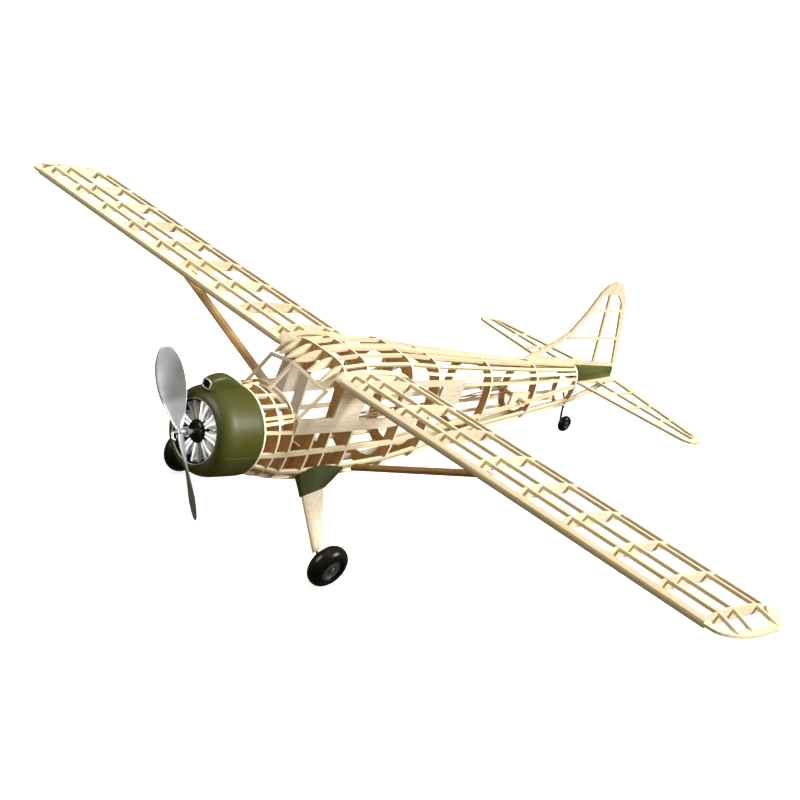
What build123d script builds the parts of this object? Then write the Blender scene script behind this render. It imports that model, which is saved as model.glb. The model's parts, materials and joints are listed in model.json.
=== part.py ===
"""Uncovered balsa frame of a rubber-powered scale aeroplane, 610 mm span.

It is drawn in the level flight frame: +X port, +Y aft, +Z up, with the thrust line and the
front of the cowl at the origin. Each piece is then turned and moved once, to stand on its
three wheels, centred on the floor. All sizes are in millimetres.
"""
from build123d import *
import math
import os

# ---- driving dimensions -----------------------------------------------------------------
SHEET = 1.6            # balsa sheet and most strips
STRINGER = 2.0         # side of a square stringer
PROUD = 0.15           # how far the strips stand out of the formers' edges
FIT = 0.05             # radial clearance of a turning fit
WIRE_R = 0.8           # propeller shaft and axles

# fuselage sections: station, top, bottom, half width, squareness above and below (2 is round)
SECTIONS = [
    (30.8, 25.3, -25.3, 25.3, 2.0, 2.0),
    (41.0, 26.0, -26.0, 26.2, 2.2, 2.4),
    (51.0, 26.6, -26.6, 26.5, 2.6, 3.0),
    (68.0, 45.0, -27.2, 26.5, 4.5, 4.2),
    (81.0, 50.4, -27.4, 26.5, 4.5, 4.2),
    (99.5, 52.2, -27.4, 26.5, 4.5, 4.0),
    (139.5, 52.0, -25.8, 26.5, 4.2, 3.4),
    (169.0, 48.8, -22.0, 24.0, 3.6, 3.0),
    (228.0, 44.2, -9.5, 19.0, 3.0, 2.6),
    (284.0, 40.2, -1.8, 14.0, 2.6, 2.5),
    (336.0, 37.4, 5.0, 9.0, 2.4, 2.3),
]
STATIONS = [row[0] for row in SECTIONS]
NOSE_Y = STATIONS[0]
TAIL_Y = STATIONS[-1]
WING_FRONT_Y = 81.0    # the first former of full height
DECK_END = 50.2        # front face of the third former
SIDE_KEEL = [(30.8, -4.6), (99.5, -2.2), (139.5, -0.6), (169, 3.6), (228, 10), (284, 17), (336, 24)]
RING = 7.5             # width of a former
GEAR_FLOOR = -10.0     # formers beside the legs are solid below this height

COWL_R = 26.5
COWL_LENGTH = 29.2
COWL_MOUTH_R = 18.9
COWL_WALL = 0.8
FIREWALL_R = 26.1      # its front layer fits inside the cowl
PLUG_R = 9.0
CRANKCASE_R = 6.9
CYLINDERS = 9
HEAD_R = 17.6          # distance of the cylinder heads from the thrust line
CYLINDER_Y = 6.2
PLATE_Y = 10.4
SCOOP_X = -3.8         # the air scoop stands a little to starboard of the top
BEARING_R = 1.6

PROP_R = 49.5
PROP_LEAN = 40.5       # blade axis from vertical, top towards starboard
HUB_Y = (-14.0, -7.0)
HUB_R = 2.6
HOOK_Y = 43.5
HOOK_HALF = 4.6

PEG_Y = 270.0
PEG_Z = 18.6
PEG_R = 1.5
PEG_END_R = 1.3        # the ends outside the fuselage are sanded thinner
PEG_HALF = 18.5
RUBBER_WIDTH = 3.0
RUBBER_THICK = 1.0

WING_LE = 70.9
CHORD = 66.2
SEMI_SPAN = 305.0
WING_Z = 39.7          # underside at the root leading edge
DIHEDRAL = 0.014
UNDER_RISE = 0.015     # slope of the underside towards the trailing edge
RIB_PEAK = 0.31        # share of the chord where the rib is highest
RIB_EDGE = 1.2         # height of the surface at both edges
RIB_RISE = 6.2         # further height at the peak
RIB_PITCH = 31.1
RIB_COUNT = 9
FIRST_RIB = 38.4
LAST_RIB = FIRST_RIB + RIB_PITCH * (RIB_COUNT - 1)
ROOT_X = 26.5
TOP_SPARS = (12.6, 25.3, 49.3)     # distance behind the leading edge
BOTTOM_SPAR = TOP_SPARS[1]
CAP_WIDTH = 4.6         # strip on the root rib
CAP_INBOARD = 2.2
CAP_THICK = 0.8
LE_DEPTH = 4.4
TE_DEPTH = 8.6

STAB_Z = 26.0
TYRE_R = 13.4
WHEEL = (69.3, 65.9, -53.3)
WHEEL_HALF = 5.4
WHEEL_HUB_R = 7.0
WHEEL_LEAN = 8.0       # the tops of the main wheels lean outwards
WEB = 0.7              # half thickness of a wheel's web and boss, as shares of the tyre's
BOSS = 0.92
TAIL_WHEEL = (0.0, 355.5, -10.4)
TAIL_TYRE_R = 5.9
TAIL_WHEEL_HALF = 2.5
TAIL_HUB_R = 3.0

LEG_TOP = (36.0, (63.2, -26.6), (79.6, -22.0))
LEG_FOOT = (60.0, (60.9, -49.7), (67.6, -47.5))
FAIRING_FOOT = (36.0, (62.4, -27.0), (80.6, -21.8))
FAIRING_EDGE = [(68.2, -20.0), (68.4, -17.6), (74.6, -15.2), (82.5, -13.2), (93.0, -13.9), (103.4, -15.6),
                (104.4, -17.4), (95.0, -20.0), (84.0, -22.4), (75.0, -23.4), (68.8, -22.6)]

STRUT_FOOT = (26.9, 112.3, -15.5)
STRUT_X = FIRST_RIB + RIB_PITCH * 3
STRUT_Y = 83.3
STRUT_CHORD = 7.8
STRUT_THICK = 4.2

SIDES = (("port", 1), ("starboard", -1))
PARTS = {}


# ---- helpers ----------------------------------------------------------------------------
def ruled(sections):
    """A solid through flat polygons, each a list of (x, y, z) corners."""
    wires = [Wire.make_polygon([Vector(*p) for p in s], close=True) for s in sections]
    return Solid.make_loft(wires, True)


def flat_sheet(points, thickness):
    """A sheet: a flat polygon given a thickness along a vector."""
    face = Face(Wire.make_polygon([Vector(*p) for p in points], close=True))
    way = Vector(*thickness)
    return extrude(face, amount=way.length, dir=way.normalized())


def sheet_x(points, x, thickness):
    """A sheet in the side view, from (y, z) corners."""
    return flat_sheet([(x, y, z) for y, z in points], (thickness, 0, 0))


def sheet_z(points, z, thickness):
    """A sheet in the plan view, from (x, y) corners."""
    return flat_sheet([(x, y, z) for x, y in points], (0, 0, thickness))


def block(x, y, z):
    """A box between pairs of limits."""
    size = (x[1] - x[0], y[1] - y[0], z[1] - z[0])
    middle = ((x[0] + x[1]) / 2, (y[0] + y[1]) / 2, (z[0] + z[1]) / 2)
    return Pos(*middle) * Box(*size)


def rod(start, end, radius):
    """A round rod between two points."""
    a = Vector(*start)
    b = Vector(*end)
    return extrude(Plane(origin=a, z_dir=b - a) * Circle(radius), amount=(b - a).length)


def wire(points, radii, radius=WIRE_R):
    """A bent wire along straight runs joined by arcs."""
    path = FilletPolyline(*points, radius=radii)
    start = Vector(*points[0])
    way = Vector(*points[1]) - start
    return sweep(Plane(origin=start, z_dir=way) * Circle(radius), path=path)


def strip(start, end, along, width, thickness):
    """A flat strip from start to end: its width lies along a vector, its thickness across."""
    a = Vector(*start)
    b = Vector(*end)
    u = Vector(*along).normalized() * (width / 2)
    v = (b - a).cross(u).normalized() * (thickness / 2)
    corners = [(1, 1), (-1, 1), (-1, -1), (1, -1)]
    return ruled([[tuple(p + u * i + v * j) for i, j in corners] for p in (a, b)])


def mirrored(shape, side):
    """The port shape, or its mirror image for starboard."""
    return shape if side > 0 else mirror(shape, about=Plane.YZ)


def group(*shapes):
    """Separate solids kept in one node."""
    solids = []
    for shape in shapes:
        solids.extend(shape.solids())
    return Compound(children=solids) if len(solids) > 1 else solids[0]


def minus(shape, *tools):
    """Shape with each tool taken away, as solids."""
    result = shape
    for tool in tools:
        for solid in tool.solids():
            result = result - solid
    return result


def largest(shape):
    """The biggest solid of a cut piece, without the offcuts."""
    return max(shape.solids(), key=lambda solid: solid.volume)


# ---- fuselage surface -------------------------------------------------------------------
def section(y):
    """Top, bottom, half width and the two squarenesses at a station."""
    rows = SECTIONS
    y = min(max(y, rows[0][0]), rows[-1][0])
    for low, high in zip(rows, rows[1:]):
        if y <= high[0]:
            t = (y - low[0]) / (high[0] - low[0])
            return [a + (b - a) * t for a, b in zip(low[1:], high[1:])]
    return list(rows[-1][1:])


def skin_point(y, angle, inset=0.0):
    """(x, z) on the surface; angle 0 is the top, 90 the port side, in degrees."""
    top, bottom, half, *squares = section(y)
    s = math.sin(math.radians(angle))
    c = math.cos(math.radians(angle))
    power = 2 / squares[0 if c > 0 else 1]
    x = (half - inset) * math.copysign(abs(s) ** power, s)
    z = (top + bottom) / 2 + ((top - bottom) / 2 - inset) * math.copysign(abs(c) ** power, c)
    return x, z


def outline_face(y, inset=0.0):
    """The section at a station as a face."""
    count = 32
    points = [skin_point(y, 360 * (i + 0.5) / count, inset) for i in range(count)]
    curve = Spline(*[(x, y, z) for x, z in points], periodic=True)
    return Face(Wire([curve.edge()]))


def plate(face):
    """A former cut from sheet, centred on the face's station."""
    return Pos(0, -SHEET / 2, 0) * extrude(face, amount=SHEET, dir=(0, 1, 0))


def angle_at(y, z):
    """The angle at which the port side of the surface has a height."""
    top, bottom, _, *squares = section(y)
    c = (z - (top + bottom) / 2) / ((top - bottom) / 2)
    c = math.copysign(min(abs(c), 1) ** (squares[0 if c > 0 else 1] / 2), c)
    return math.degrees(math.acos(c))


def stringer(stations, angle, width=STRINGER, depth=STRINGER):
    """A strip let into the surface along stations; angle is a number or a function of y."""
    sections = []
    for y in stations:
        a = angle(y) if callable(angle) else angle
        x, z = skin_point(y, a)
        x1, z1 = skin_point(y, a + 1.0)
        x0, z0 = skin_point(y, a - 1.0)
        size = math.hypot(x1 - x0, z1 - z0)
        tx, tz = (x1 - x0) / size, (z1 - z0) / size
        nx, nz = -tz, tx
        h = width / 2
        corners = [(h, 0), (-h, 0), (-h, -depth), (h, -depth)]
        sections.append([(x + tx * u + nx * v, y, z + tz * u + nz * v) for u, v in corners])
    return ruled(sections)


def by_height(heights):
    """Angle function of a line of given heights, from (y, z) pairs."""
    def angle(y):
        for (y0, z0), (y1, z1) in zip(heights, heights[1:]):
            if y <= y1:
                return angle_at(y, z0 + (z1 - z0) * (y - y0) / (y1 - y0))
        return angle_at(y, heights[-1][1])
    return angle


def stations(start, end):
    """The listed stations between two ends, with the ends."""
    inner = [y for y in STATIONS if start + 1 < y < end - 1]
    return [start] + inner + [end]


# ---- fuselage ---------------------------------------------------------------------------
def fuselage_strips():
    """Keels and stringers; returned by node name."""
    strips = {}
    bottom = [(y, section(y)[1]) for y in stations(NOSE_Y, TAIL_Y)]
    bottom += [(353, 8.0), (372, 14.0), (386, 21.5)]
    keel = bottom + [(386, 24.6), (368, 17.6), (352, 11.8)]
    keel += [(y, z + 4.0) for y, z in reversed(bottom[:-3])]
    strips["keel_bottom"] = sheet_x(keel, -SHEET / 2, SHEET)
    top = stations(WING_FRONT_Y + SHEET / 2, TAIL_Y)
    plank = []
    for y in top:
        half = 3.6 - 2.0 * (y - WING_FRONT_Y) / (TAIL_Y - WING_FRONT_Y)
        z = skin_point(y, 0)[1]
        plank.append([(half, y, z), (-half, y, z), (-half, y, z - SHEET), (half, y, z - SHEET)])
    strips["keel_top"] = ruled(plank)
    side = stringer(stations(NOSE_Y, TAIL_Y), by_height(SIDE_KEEL), width=2.6)
    strips["side_keels"] = group(side, mirrored(side, -1))
    runs = [
        (stations(NOSE_Y, 46.0), 14.0),
        (stations(NOSE_Y, 48.5), 33.0),
        (stations(NOSE_Y, DECK_END), 50.0),
        (stations(WING_FRONT_Y + SHEET / 2, 284.0), 8.5),
        (stations(WING_FRONT_Y + SHEET / 2, TAIL_Y), 30.0),
        (stations(139.5, TAIL_Y), 47.0),
        (stations(169.0, TAIL_Y), 64.0),
        (stations(NOSE_Y, TAIL_Y), 120.0),
        (stations(NOSE_Y, TAIL_Y), 143.0),
        (stations(NOSE_Y, 284.0), 165.0),
    ]
    lines = [stringer(run, angle) for run, angle in runs]
    lines.append(stringer([NOSE_Y, 41.0, 51.0], by_height([(NOSE_Y, 13.5), (51, 16.5)])))
    lines.append(stringer([NOSE_Y, 41.0, 51.0], by_height([(NOSE_Y, 9.6), (51, 10.0)])))
    for name, side in SIDES:
        strips["stringers_" + name] = group(*[mirrored(line, side) for line in lines])
    return strips


def cabin_side():
    """Port cabin side: sheet with the front window, the door post and two rear windows."""
    outside = [(51, 9), (100, 9.4), (131, 10.6), (160, 14.6), (188, 25), (188, 40.6), (80.5, 41.3)]
    outside += [(78.5, 18.4), (51, 17.6)]
    panel = sheet_x(outside, ROOT_X - SHEET, SHEET)
    rear = [(99, 16.5), (103, 15.8), (130, 17.0), (133, 20), (134, 37), (104.5, 37), (101.5, 25)]
    last = [(141, 19.5), (164, 23.5), (168, 27), (168, 37), (141, 37)]
    for window in (rear, last):
        panel -= sheet_x(window, ROOT_X - 3, 5)
    return panel


def windscreen_corners(side):
    """Corners of one flat pane: bottom centre, bottom corner, top corner, top centre."""
    low = Vector(0.0, 45.2, 25.9)
    across = Vector(25.0 * side, 6.3, -7.9)
    up = Vector(0.0, 13.8, 17.5)
    return [low, low + across, low + across * 1.04 + up * 1.08, low + up]


def windscreen():
    """The two clear panes and the posts behind their edges."""
    panes = []
    posts = []
    for _, side in SIDES:
        a, b, c, d = windscreen_corners(side)
        normal = (b - a).cross(d - a).normalized() * (0.5 * side)
        panes.append(flat_sheet([tuple(p) for p in (a, b, c, d)], tuple(normal * -1)))
        behind = normal * -2.8
        for p, q, pull in ((a, b, d - a), (b, c, a - b), (c, d, a - d)):
            inward = pull.normalized() * 0.9
            start = tuple(p + behind + inward)
            end = tuple(q + behind + inward)
            posts.append(strip(start, end, tuple(normal), 1.6, 1.8))
    a, _, _, d = windscreen_corners(1)
    back = Vector(0, 1.6, -1.3)
    posts.append(strip(tuple(a + back), tuple(d + back), (1, 0, 0), 1.8, 1.6))
    for i in range(1, len(posts)):
        posts[i] = largest(minus(posts[i], *posts[:i]))
    return group(*panes), group(*posts)


def roof_riblets():
    """Curved pieces from the top of the windscreen to the first full former."""
    pieces = []
    back_y = WING_FRONT_Y - SHEET / 2
    for x in (-23.4, -18.0, -9.2, 0.0, 9.2, 18.0, 23.4):
        share = abs(x) / 25.7
        front_y = 60.4 + 7.6 * share
        front_z = 42.8 - 6.2 * share
        back_z = skin_point(back_y, 0)[1] - 0.6 - 2.6 * share ** 2
        curve = [(front_y, front_z)]
        for t in (0.25, 0.5, 0.75, 1.0):
            y = front_y + (back_y - front_y) * t
            z = front_z + (back_z - front_z) * (1 - (1 - t) ** 1.8)
            curve.append((y, z))
        under = [(back_y, back_z - 6.0), ((front_y + back_y) / 2, (front_z + back_z) / 2 - 4.0)]
        pieces.append(sheet_x(curve + under, x - SHEET / 2, SHEET))
    return pieces


def formers(cutters):
    """The rings across the fuselage, notched for the strips."""
    rings = {}
    inside_r = COWL_R - COWL_WALL
    spigot_y = COWL_LENGTH - SHEET
    rings["former_1_firewall"] = turned([
        (PLUG_R, spigot_y), (inside_r, spigot_y), (inside_r, COWL_LENGTH), (FIREWALL_R, COWL_LENGTH),
        (FIREWALL_R, NOSE_Y), (PLUG_R, NOSE_Y)])
    names = ["2_deck", "3_dash", "4_gear_front", "5_wing_front", "6_door", "7_cabin_rear"]
    names += ["8_aft", "9_aft", "10_aft", "11_tail"]
    for name, row in zip(names, SECTIONS[1:]):
        y = row[0]
        width = RING if y < 200 else RING - 2.0
        if name == "11_tail":
            width = 3.4
        ring = plate(outline_face(y, PROUD))
        inner = plate(outline_face(y, width))
        inside = (-40, 40), (y - 2, y + 2)
        if name in ("4_gear_front", "5_wing_front", "6_door"):
            inner = inner & block(*inside, (GEAR_FLOOR, 60))
        ring = ring - inner
        if name == "4_gear_front":
            ring = ring & block(*inside, (-60, 9.0))
        rings["former_" + name] = largest(minus(ring, *cutters))
    return rings


# ---- nose -------------------------------------------------------------------------------
def turned(points):
    """A solid of revolution about the thrust line, from (r, y) corners."""
    face = Face(Wire.make_polygon([Vector(r, y, 0) for r, y in points], close=True))
    return revolve(face, axis=Axis.Y, revolution_arc=360)


def cowl_curve(offset=0.0):
    """The cowl's outer surface as (r, y) points, from the mouth to the rear edge."""
    nose_y = 9.5
    nose_r = COWL_R - COWL_MOUTH_R
    points = []
    for i in range(9):
        t = math.radians(90 * i / 8)
        r = COWL_MOUTH_R + (nose_r - offset) * math.sin(t)
        points.append((r, offset + (nose_y - offset) * (1 - math.cos(t))))
    points.append((COWL_R - offset, COWL_LENGTH))
    return points


def cowl_edges(points):
    """The smooth nose and the straight skirt through the cowl's points."""
    nose = Spline(*[(r, y, 0) for r, y in points[:9]])
    skirt = Line((points[8][0], points[8][1], 0), (points[9][0], points[9][1], 0))
    return nose, skirt


def cowl():
    """The cowl shell and the pale ring in its mouth."""
    outer_nose, outer_skirt = cowl_edges(cowl_curve())
    inner_nose, inner_skirt = cowl_edges(cowl_curve(COWL_WALL))
    rear = Line(outer_skirt @ 1, inner_skirt @ 1)
    front = Line(inner_nose @ 0, outer_nose @ 0)
    edges = [outer_nose, outer_skirt, rear, inner_skirt, inner_nose, front]
    face = Face(Wire([e.edge() for e in edges]))
    shell = revolve(face, axis=Axis.Y, revolution_arc=360)
    lip = turned([(COWL_MOUTH_R - 0.9, 0.2), (COWL_MOUTH_R, 0.0), (COWL_MOUTH_R, COWL_WALL),
                  (COWL_MOUTH_R, 2.4), (COWL_MOUTH_R - 0.9, 2.4)])
    return shell, lip


def around(shape, count):
    """Copies of a shape turned about the thrust line."""
    return [Rot(0, 360 * i / count, 0) * shape for i in range(count)]


def dummy_engine():
    """Cylinders with cooling fins, their push rods, and the plate behind them."""
    barrel = 2.1
    fin = 2.9
    pitch = 1.3
    profile = [(0.0, CRANKCASE_R), (barrel, CRANKCASE_R)]
    fins = 6
    start = CRANKCASE_R + 1.2
    for i in range(fins):
        z = start + pitch * i
        profile += [(barrel, z), (fin, z), (fin, z + 0.6), (barrel, z + 0.6)]
    top = start + pitch * fins
    profile += [(barrel, top), (fin - 0.3, top + 0.2), (fin - 0.3, HEAD_R - 0.6)]
    profile += [(barrel, HEAD_R), (0.0, HEAD_R)]
    face = Face(Wire.make_polygon([Vector(r, 0, z) for r, z in profile], close=True))
    cylinder = Pos(0, CYLINDER_Y, 0) * revolve(face, axis=Axis.Z, revolution_arc=360)
    rods = []
    for lean in (-1, 1):
        rods.append(rod((0.9 * lean, 2.3, CRANKCASE_R - 1.4), (2.5 * lean, 2.6, HEAD_R - 1.0), 0.5))
    case = crankcase_blank()
    pieces = around(cylinder, CYLINDERS) + around(group(*rods), CYLINDERS)
    pieces = [minus(piece, case) for piece in pieces]
    disc = turned([(BEARING_R, PLATE_Y), (25.0, PLATE_Y), (25.0, PLATE_Y + 1), (BEARING_R, PLATE_Y + 1)])
    return group(*pieces), disc


def crankcase_blank():
    """The low domed crankcase, round the bearing."""
    front = 0.4
    points = [(BEARING_R, front)]
    for i in range(1, 7):
        t = math.radians(15 * i)
        points.append((3.4 + (CRANKCASE_R - 3.4) * math.sin(t), front + 2.6 * (1 - math.cos(t))))
    points += [(CRANKCASE_R, PLATE_Y), (BEARING_R, PLATE_Y)]
    return turned(points)


def intake_scoop():
    """The air scoop on the cowl's top starboard side: a box open in front that fades out behind."""
    def arch(y, half, low, high):
        round_off = 0.35 * half
        shape = [(half, low), (half, high - round_off), (half - round_off, high),
                 (round_off - half, high), (-half, high - round_off), (-half, low)]
        return [(SCOOP_X + x, y, z) for x, z in shape]
    body = ruled([arch(2.6, 3.7, 22.0, 30.6), arch(6.0, 3.9, 22.0, 32.4), arch(11.0, 3.9, 22.0, 33.4),
                  arch(17.0, 3.6, 22.0, 32.6), arch(23.0, 2.9, 22.0, 30.0), arch(29.0, 1.8, 22.0, 27.0)])
    mouth = ruled([arch(1.6, 2.9, 25.4, 29.8), arch(8.0, 3.1, 27.0, 32.0)])
    filled = turned([(0, COWL_LENGTH)] + [(0, 0)] + cowl_curve())
    return largest(body - mouth - filled - cowl()[0])


def nose_bearing():
    """Flanged tube that the propeller shaft turns in."""
    hole = WIRE_R + FIT
    rim = BEARING_R + 0.6
    return turned([(hole, -6.0), (rim, -6.0), (rim, -5.0), (BEARING_R, -5.0), (BEARING_R, 32.5), (hole, 32.5)])


def nose_block():
    """Balsa plug that carries the bearing and fits the firewall."""
    return turned([(BEARING_R, PLATE_Y + 1), (PLUG_R, PLATE_Y + 1), (PLUG_R, 31.5), (BEARING_R, 31.5)])


# ---- moving power train -----------------------------------------------------------------
def propeller():
    """Two twisted blades on a round hub, with a bore for the shaft."""
    hub = turned([(WIRE_R, HUB_Y[0]), (HUB_R - 0.9, HUB_Y[0]), (HUB_R, HUB_Y[0] + 1.2), (HUB_R, HUB_Y[1]),
                  (WIRE_R, HUB_Y[1])])
    middle = sum(HUB_Y) / 2 + 0.6
    # distance out, chord, thickness, blade angle
    table = [(1.6, 4.8, 3.4, 60), (5.0, 7.6, 3.0, 56), (14.0, 12.0, 2.1, 45), (24.0, 16.4, 1.7, 37),
             (34.0, 17.0, 1.4, 31), (42.0, 13.6, 1.1, 28), (47.4, 7.6, 0.8, 26), (PROP_R, 2.0, 0.5, 25)]
    blades = []
    for half_turn in (0, 180):
        faces = []
        for out, chord, thick, pitch in table:
            plane = Plane(origin=(0, middle, out), x_dir=(1, 0, 0), z_dir=(0, 0, 1))
            faces.append(plane * Rot(0, 0, pitch) * Ellipse(chord / 2, thick / 2))
        blades.append(Rot(0, half_turn, 0) * loft(faces))
    shaft_hole = rod((0, HUB_Y[0] - 1, 0), (0, HUB_Y[1] + 1, 0), WIRE_R)
    whole = hub + blades[0] + blades[1] - shaft_hole
    return Rot(0, -PROP_LEAN, 0) * whole


def prop_shaft():
    """Wire through the hub and bearing, bent to a flat hook for the rubber."""
    points = [(0, HUB_Y[0] - 1.5, 0), (0, 35.0, 0), (HOOK_HALF, 38.6, 0), (HOOK_HALF, HOOK_Y, 0),
              (-HOOK_HALF, HOOK_Y, 0), (-HOOK_HALF, 38.8, 0)]
    return wire(points, 1.0)


def rubber_motor():
    """Two loops of rubber strip side by side, from the hook to the rear peg."""
    ends = [(HOOK_Y, 0.0, WIRE_R + FIT), (PEG_Y, PEG_Z, PEG_R + FIT)]
    faces = []
    for extra in (RUBBER_THICK, 0.0):
        circles = [Pos(y, z) * Circle(r + extra) for y, z, r in ends]
        edges = [edge for circle in circles for edge in circle.edges()]
        faces.append(make_hull(edges))
    belt = extrude(Plane.YZ * (faces[0] - faces[1]), amount=RUBBER_WIDTH)
    return group(Pos(0.25, 0, 0) * belt, Pos(-0.25 - RUBBER_WIDTH, 0, 0) * belt)


def motor_peg():
    """Hardwood rod across the fuselage, and the plates it rests in."""
    outer = skin_point(PEG_Y, angle_at(PEG_Y, PEG_Z))[0]
    step = outer + 0.2
    peg = rod((-step, PEG_Y, PEG_Z), (step, PEG_Y, PEG_Z), PEG_R)
    peg += rod((-PEG_HALF, PEG_Y, PEG_Z), (PEG_HALF, PEG_Y, PEG_Z), PEG_END_R)
    plates = []
    for _, side in SIDES:
        x = sorted((side * (outer - 2.0), side * (outer - 3.6)))
        sheet = block(x, (PEG_Y - 9, PEG_Y + 9), (PEG_Z - 6, PEG_Z + 5))
        plates.append(sheet - peg)
    return peg, plates


# ---- landing gear -----------------------------------------------------------------------
def oval(x, front, back, thickness):
    """A streamlined section across a leg: front and back are (y, z), eleven corners."""
    fy, fz = front
    by, bz = back
    length = math.hypot(by - fy, bz - fz)
    uy, uz = (by - fy) / length, (bz - fz) / length
    shape = [(0, 0), (0.04, 0.6), (0.16, 1.0), (0.4, 1.0), (0.7, 0.6), (1, 0.08)]
    shape += [(1, -0.08), (0.7, -0.6), (0.4, -1.0), (0.16, -1.0), (0.04, -0.6)]
    points = []
    for t, s in shape:
        shift = s * thickness / 2
        points.append((x + shift * 0.7, fy + (by - fy) * t - uz * shift * 0.2,
                       fz + (bz - fz) * t + uy * shift * 0.7))
    return points


def gear_leg():
    """Tapered balsa leg from the fairing to the axle."""
    return ruled([oval(*LEG_TOP, 3.4), oval(*LEG_FOOT, 3.0)])


def gear_fairing():
    """Moulded block on the lower fuselage corner that the leg grows out of."""
    against = [(26.6 + 0.33 * (z + 13.0), y, z) for y, z in FAIRING_EDGE]
    return ruled([against, oval(*FAIRING_FOOT, 4.8)])


def axle():
    """Wire from inside the leg, bent out to carry the wheel."""
    middle = Vector(*WHEEL)
    bend = tuple(middle - wheel_axis() * 9.7)
    end = tuple(middle + wheel_axis() * (WHEEL_HALF * BOSS + 0.3))
    return wire([(51.4, WHEEL[1] - 0.6, -40.6), bend, end], 1.6)


def wheel_profile(radius, half, hub_radius):
    """Tyre section as (r, y) corners round the rim."""
    points = [(hub_radius, -half * WEB)]
    for i in range(17):
        t = math.radians(-95 + 190 * i / 16)
        r = radius - half + half * math.cos(t)
        points.append((r, half * math.sin(t)))
    points.append((hub_radius, half * WEB))
    return points


def wheel(radius, half, hub_radius):
    """Tyre and hub turned about Y; the hub has a running bore."""
    bore = WIRE_R + FIT
    tyre = turned(wheel_profile(radius, half, hub_radius))
    boss_r = bore + 0.18 * hub_radius
    end = half * BOSS
    web = half * WEB
    hub = turned([(bore, -end), (boss_r, -end), (boss_r, -web), (hub_radius, -web), (hub_radius, web),
                  (boss_r, web), (boss_r, end), (bore, end)])
    return tyre, hub


def wheel_axis():
    """The port wheel's axis, pointing outwards and a little down."""
    lean = math.radians(WHEEL_LEAN)
    return Vector(math.cos(lean), 0, -math.sin(lean))


# ---- wing -------------------------------------------------------------------------------
def wing_base(x, y):
    """Height of the wing's underside."""
    return WING_Z + DIHEDRAL * x + UNDER_RISE * (y - WING_LE)


def camber(t):
    """Height of the rib's top above the underside, at a share of the chord."""
    if t < RIB_PEAK:
        return RIB_EDGE + RIB_RISE * (1 - (1 - t / RIB_PEAK) ** 2) ** 0.55
    return RIB_EDGE + RIB_RISE * (1 - ((t - RIB_PEAK) / (1 - RIB_PEAK)) ** 2) ** 0.8


def rib(x, thickness=SHEET, front=LE_DEPTH, back=CHORD - TE_DEPTH):
    """One rib, flat underneath and cambered on top."""
    count = 12
    top = []
    for i in range(count + 1):
        d = front + (back - front) * i / count
        y = WING_LE + d
        top.append((y, wing_base(x, y) + camber(d / CHORD)))
    low = [(WING_LE + d, wing_base(x, WING_LE + d)) for d in (back, front)]
    return sheet_x(top + low, x - thickness / 2, thickness)


def root_cap():
    """Thin curved strip on the root rib, from the leading to the trailing edge."""
    count = 20
    top = []
    for i in range(count + 1):
        d = 0.2 + (CHORD - TE_DEPTH - 0.2) * (i / count) ** 1.5
        y = WING_LE + d
        top.append((y, wing_base(ROOT_X, y) + camber(d / CHORD)))
    over = [(y, z + CAP_THICK) for y, z in reversed(top)]
    return sheet_x(top + over, ROOT_X - CAP_INBOARD, CAP_WIDTH)


def spar(d, top=True):
    """A spanwise strip let flush into the ribs; a top spar ends on the tip plate."""
    y = WING_LE + d
    height = camber(d / CHORD) if top else STRINGER
    places = [(x, wing_base(x, y) + height) for x in (ROOT_X + SHEET, LAST_RIB + SHEET / 2)]
    if top:
        places.append((SEMI_SPAN - 3.4, tip_height() + SHEET + 0.5))
    sections = []
    for x, high in places:
        low = high - STRINGER
        y0 = y - STRINGER / 2
        y1 = y + STRINGER / 2
        sections.append([(x, y0, high), (x, y1, high), (x, y1, low), (x, y0, low)])
    return ruled(sections)


def wing_leading_edge():
    """Shaped strip with a rounded front."""
    sections = []
    for x in (ROOT_X + 0.4, ROOT_X + 2.4, LAST_RIB + 1):
        base = wing_base(x, WING_LE)
        nose = 1.2 if x == ROOT_X + 0.4 else 0.0
        high = base + camber(LE_DEPTH / CHORD) - nose * 0.4
        sections.append([
            (x, WING_LE + LE_DEPTH - nose * 0.3, base + nose * 0.4), (x, WING_LE + 1.4 + nose, base + 0.1),
            (x, WING_LE + 0.3 + nose, base + 1.1), (x, WING_LE + nose, base + 2.5),
            (x, WING_LE + 0.5 + nose, base + 3.8), (x, WING_LE + 1.8 + nose, high - 0.6),
            (x, WING_LE + LE_DEPTH - nose * 0.3, high)])
    return ruled(sections)


def wing_trailing_edge():
    """Wedge strip with one slot in each bay."""
    sections = []
    front = WING_LE + CHORD - TE_DEPTH
    back = WING_LE + CHORD
    for x in (ROOT_X + SHEET, LAST_RIB + 2):
        high = wing_base(x, front) + camber(1 - TE_DEPTH / CHORD)
        low = wing_base(x, back)
        sections.append([(x, front, high - 1.6), (x, front, high), (x, back, low + 0.8), (x, back, low)])
    edge = ruled(sections)
    for i in range(RIB_COUNT - 1):
        x = FIRST_RIB + RIB_PITCH * i
        slot = block((x + 3.4, x + RIB_PITCH - 3.4), (front + 1.4, front + 4.4), (30, 70))
        edge -= slot
    return edge


def tip_outline(inset):
    """Plan of the port wing tip, from the leading to the trailing edge."""
    front = WING_LE + inset
    back = WING_LE + CHORD - inset
    right = SEMI_SPAN - inset
    points = [(LAST_RIB, front), (LAST_RIB + 6, front + 0.6)]
    for i in range(1, 9):
        t = math.radians(90 * i / 8)
        out = (right - LAST_RIB - 6) * math.sin(t)
        points.append((LAST_RIB + 6 + out, front + 0.6 + 30 * (1 - math.cos(t))))
    points += [(right - 0.6, back - 20), (right - 3.4, back - 12), (right - 8, back - 5)]
    points += [(right - 13, back - 1.0), (LAST_RIB, back)]
    return points


def tip_height():
    """Height of the tip plate's lower face."""
    return wing_base(LAST_RIB + 8, WING_LE + CHORD / 2) + 0.9


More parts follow.
